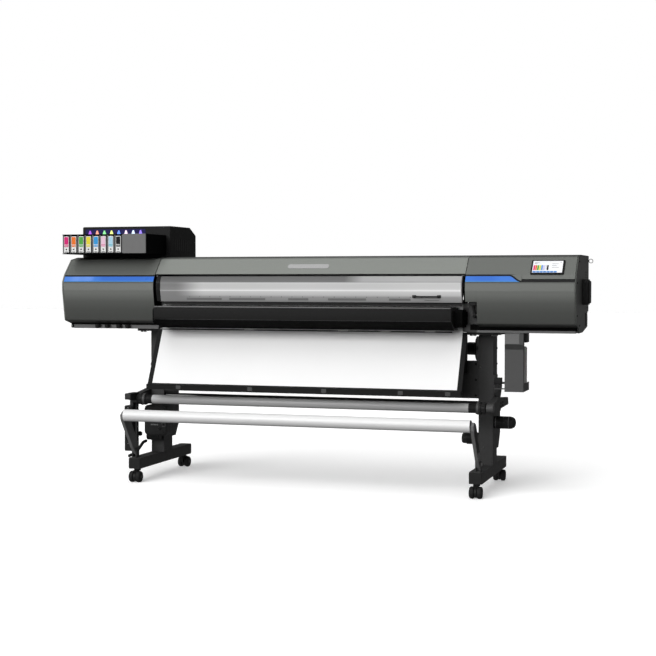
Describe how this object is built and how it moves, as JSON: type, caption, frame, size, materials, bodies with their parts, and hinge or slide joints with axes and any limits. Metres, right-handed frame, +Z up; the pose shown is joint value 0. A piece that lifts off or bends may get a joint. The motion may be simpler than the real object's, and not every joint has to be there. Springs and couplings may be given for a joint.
{
  "type": "printer cutter",
  "caption": "Wide roll printer and cutter on a caster stand, with a clear front hood, ink unit, dryer bar, apron and take-up unit with dancer roller.",
  "frame": {"origin": "on the floor, under the middle of the whole machine", "axes": "+X along the body to the control screen's end, +Y to the rear, +Z up"},
  "size_m": [2.81, 0.8319, 1.37],
  "materials": {
    "cover": "satin metallic",
    "cover_dark": "satin",
    "frame_paint": "fine powder coat",
    "apron_paint": "satin",
    "steel": "brushed",
    "aluminium": "satin anodised",
    "black_plastic": "fine grain",
    "black_gloss": "gloss",
    "ink_black": "satin",
    "ink_tray": "satin with coloured front",
    "rubber": "matte",
    "vinyl": "semi-gloss film",
    "hood_clear": "smoked clear panel",
    "bottle": "translucent",
    "light_lens": "lit lens",
    "screen": "glass-fronted display"
  },
  "bodies": {
    "machine": {"left_leg": "frame_paint", "right_leg": "frame_paint", "cross_panel": "frame_paint", "stay_bar": "steel", "takeup_arms": "frame_paint", "takeup_drive": "black_plastic", "sensor_box": "black_plastic", "switch_box": "black_plastic", "dancer_brackets": "steel", "drain_cover": "frame_paint", "chassis": "steel", "platen": "aluminium", "guide_rail": "aluminium", "carriage_drive": "steel", "apron": "apron_paint", "media_sheet": "vinyl", "dryer_bar": "apron_paint", "left_top_cover": "cover", "right_top_cover": "cover", "center_top_cover": "cover", "left_front_cover": "cover", "right_front_cover": "cover", "rear_cover": "frame_paint", "end_panels": "cover_dark", "light_bars": "light_lens", "touch_screen": "screen", "ink_case": "ink_black"},
    "takeup_roll": {"takeup_tube": "aluminium", "takeup_hubs": "black_plastic"},
    "direction_switch": {"direction_switch": "black_gloss"},
    "dancer": {"dancer_arms": "frame_paint"},
    "dancer_roller": {"dancer_roller": "aluminium"},
    "media_shaft": {"media_shaft": "steel"},
    "drain_bottle": {"drain_bottle": "bottle"},
    "feed_roller": {"feed_roller": "steel"},
    "pinch_arms": {"pinch_arms": "steel"},
    "pinch_rollers": {"pinch_rollers": "rubber"},
    "loading_lever": {"loading_lever": "black_plastic"},
    "print_carriage": {"print_carriage": "black_plastic", "print_heads": "steel"},
    "cutter_carriage": {"cutter_carriage": "black_plastic"},
    "capping_station": {"capping_station": "black_plastic"},
    "power_switch": {"power_switch": "black_gloss"},
    "hood": {"front_hood": "hood_clear"},
    "fork_front_left": {"caster_fork_front_left": "black_plastic"},
    "wheels_front_left": {"caster_wheels_front_left": "rubber"},
    "fork_front_right": {"caster_fork_front_right": "black_plastic"},
    "wheels_front_right": {"caster_wheels_front_right": "rubber"},
    "fork_rear_left": {"caster_fork_rear_left": "black_plastic"},
    "wheels_rear_left": {"caster_wheels_rear_left": "rubber"},
    "fork_rear_right": {"caster_fork_rear_right": "black_plastic"},
    "wheels_rear_right": {"caster_wheels_rear_right": "rubber"},
    "ink_tray_1": {"ink_tray_1": "ink_tray"},
    "ink_tray_2": {"ink_tray_2": "ink_tray"},
    "ink_tray_3": {"ink_tray_3": "ink_tray"},
    "ink_tray_4": {"ink_tray_4": "ink_tray"},
    "ink_tray_5": {"ink_tray_5": "ink_tray"},
    "ink_tray_6": {"ink_tray_6": "ink_tray"},
    "ink_tray_7": {"ink_tray_7": "ink_tray"},
    "ink_tray_8": {"ink_tray_8": "ink_tray"}
  },
  "joints": [
    {"name": "swivel_front_left", "type": "hinge", "parent": "machine", "child": "fork_front_left", "pos_m": [-0.942, -0.236, 0.074], "axis": [0, 0, 1], "continuous": true},
    {"name": "wheel_front_left", "type": "hinge", "parent": "fork_front_left", "child": "wheels_front_left", "pos_m": [-0.942, -0.256, 0.03], "axis": [1, 0, 0], "continuous": true},
    {"name": "swivel_rear_left", "type": "hinge", "parent": "machine", "child": "fork_rear_left", "pos_m": [-0.942, 0.366, 0.074], "axis": [0, 0, 1], "continuous": true},
    {"name": "wheel_rear_left", "type": "hinge", "parent": "fork_rear_left", "child": "wheels_rear_left", "pos_m": [-0.942, 0.386, 0.03], "axis": [1, 0, 0], "continuous": true},
    {"name": "swivel_front_right", "type": "hinge", "parent": "machine", "child": "fork_front_right", "pos_m": [0.892, -0.236, 0.074], "axis": [0, 0, 1], "continuous": true},
    {"name": "wheel_front_right", "type": "hinge", "parent": "fork_front_right", "child": "wheels_front_right", "pos_m": [0.892, -0.256, 0.03], "axis": [1, 0, 0], "continuous": true},
    {"name": "swivel_rear_right", "type": "hinge", "parent": "machine", "child": "fork_rear_right", "pos_m": [0.892, 0.366, 0.074], "axis": [0, 0, 1], "continuous": true},
    {"name": "wheel_rear_right", "type": "hinge", "parent": "fork_rear_right", "child": "wheels_rear_right", "pos_m": [0.892, 0.386, 0.03], "axis": [1, 0, 0], "continuous": true},
    {"name": "takeup_turn", "type": "hinge", "parent": "machine", "child": "takeup_roll", "pos_m": [-0.025, -0.156, 0.436], "axis": [1, 0, 0], "continuous": true},
    {"name": "direction_rock", "type": "hinge", "parent": "machine", "child": "direction_switch", "pos_m": [-0.862, -0.07, 0.292], "axis": [1, 0, 0], "range_deg": [-10, 10]},
    {"name": "dancer_swing", "type": "hinge", "parent": "machine", "child": "dancer", "pos_m": [-0.025, -0.24, 0.168], "axis": [1, 0, 0], "range_deg": [-30, 0]},
    {"name": "dancer_roller_turn", "type": "hinge", "parent": "dancer", "child": "dancer_roller", "pos_m": [-0.025, -0.385, 0.369], "axis": [1, 0, 0], "continuous": true},
    {"name": "media_shaft_turn", "type": "hinge", "parent": "machine", "child": "media_shaft", "pos_m": [-0.025, 0.3, 0.711], "axis": [1, 0, 0], "continuous": true},
    {"name": "drain_bottle_pull", "type": "slide", "parent": "machine", "child": "drain_bottle", "axis": [0, 1, 0], "range_m": [0, 0.2]},
    {"name": "feed_turn", "type": "hinge", "parent": "machine", "child": "feed_roller", "pos_m": [-0.025, 0.105, 0.943], "axis": [1, 0, 0], "continuous": true},
    {"name": "pinch_turn", "type": "hinge", "parent": "pinch_arms", "child": "pinch_rollers", "pos_m": [-0.025, 0.105, 0.9643], "axis": [1, 0, 0], "continuous": true},
    {"name": "pinch_lift", "type": "hinge", "parent": "machine", "child": "pinch_arms", "pos_m": [-0.025, 0.15, 1], "axis": [1, 0, 0], "range_deg": [-8, 0]},
    {"name": "lever_pull", "type": "hinge", "parent": "machine", "child": "loading_lever", "pos_m": [0.857, -0.132, 0.9], "axis": [1, 0, 0], "range_deg": [0, 30]},
    {"name": "carriage_travel", "type": "slide", "parent": "machine", "child": "print_carriage", "axis": [1, 0, 0], "range_m": [-1.965, 0]},
    {"name": "cutter_travel", "type": "slide", "parent": "machine", "child": "cutter_carriage", "axis": [1, 0, 0], "range_m": [0, 0.15]},
    {"name": "cap_lift", "type": "slide", "parent": "machine", "child": "capping_station", "axis": [0, 0, 1], "range_m": [0, 0.02]},
    {"name": "power_rock", "type": "hinge", "parent": "machine", "child": "power_switch", "pos_m": [1.366, 0.175, 0.892], "axis": [0, 1, 0], "range_deg": [-6, 6]},
    {"name": "hood_lift", "type": "hinge", "parent": "machine", "child": "hood", "pos_m": [-0.025, -0.179, 1.096], "axis": [1, 0, 0], "range_deg": [-75, 0]},
    {"name": "ink_tray_pull_1", "type": "slide", "parent": "machine", "child": "ink_tray_1", "axis": [0, -1, 0], "range_m": [0, 0.25]},
    {"name": "ink_tray_pull_2", "type": "slide", "parent": "machine", "child": "ink_tray_2", "axis": [0, -1, 0], "range_m": [0, 0.25]},
    {"name": "ink_tray_pull_3", "type": "slide", "parent": "machine", "child": "ink_tray_3", "axis": [0, -1, 0], "range_m": [0, 0.25]},
    {"name": "ink_tray_pull_4", "type": "slide", "parent": "machine", "child": "ink_tray_4", "axis": [0, -1, 0], "range_m": [0, 0.25]},
    {"name": "ink_tray_pull_5", "type": "slide", "parent": "machine", "child": "ink_tray_5", "axis": [0, -1, 0], "range_m": [0, 0.25]},
    {"name": "ink_tray_pull_6", "type": "slide", "parent": "machine", "child": "ink_tray_6", "axis": [0, -1, 0], "range_m": [0, 0.25]},
    {"name": "ink_tray_pull_7", "type": "slide", "parent": "machine", "child": "ink_tray_7", "axis": [0, -1, 0], "range_m": [0, 0.25]},
    {"name": "ink_tray_pull_8", "type": "slide", "parent": "machine", "child": "ink_tray_8", "axis": [0, -1, 0], "range_m": [0, 0.25]}
  ],
  "couplings": [
    {"joint": "pinch_lift", "follows": "lever_pull", "ratio": -0.26667}
  ]
}
